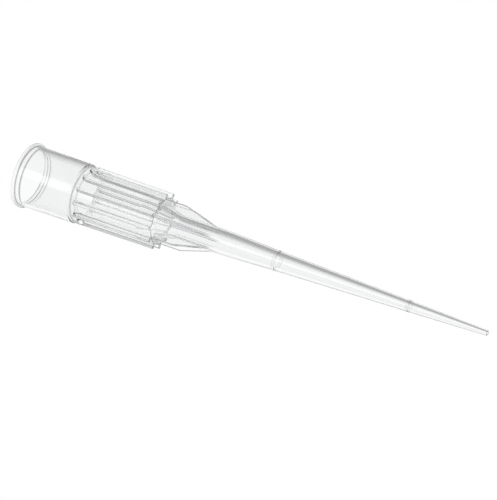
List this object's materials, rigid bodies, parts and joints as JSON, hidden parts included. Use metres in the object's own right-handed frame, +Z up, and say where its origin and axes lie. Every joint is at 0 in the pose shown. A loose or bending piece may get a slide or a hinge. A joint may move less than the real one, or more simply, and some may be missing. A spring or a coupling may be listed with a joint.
{
  "type": "pipette tip",
  "caption": "Clear tapered pipette tip with a ribbed, finned collar and graduation rings, pushed onto a pipette's nozzle to draw up and dispense small volumes of liquid.",
  "frame": {"origin": "centre of the lying tip's footprint, on the bench", "axes": "+X along the bench from the open mouth towards the fine end, +Z up from the bench"},
  "size_m": [0.053, 0.0068, 0.0069],
  "materials": {
    "clear_plastic": "clear gloss, moulded polypropylene"
  },
  "bodies": {
    "root": {"pipette_tip": "clear_plastic"}
  },
  "joints": []
}
